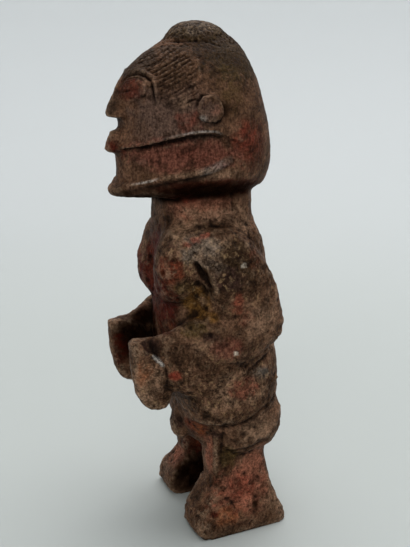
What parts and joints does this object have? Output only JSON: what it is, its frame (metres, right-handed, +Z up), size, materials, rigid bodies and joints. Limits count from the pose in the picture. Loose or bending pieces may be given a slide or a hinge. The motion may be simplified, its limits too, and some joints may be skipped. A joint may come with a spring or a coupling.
{
  "type": "carved standing figure",
  "caption": "Standing figure with a large helmet-like head, hanging breasts, forearms held forward and broad feet, carved from one piece of wood.",
  "frame": {"origin": "on the floor, below the middle of the figure's bounding box", "axes": "+Z up from the soles to the crown; -Y is the way the figure faces; +X is the figure's own left"},
  "size_m": [0.082, 0.091, 0.271],
  "materials": {
    "painted_wood": "dark brown hand-worn wood with remains of red pigment and a dry tan crust"
  },
  "bodies": {
    "root": {"carved_figure": "painted_wood"}
  },
  "joints": []
}
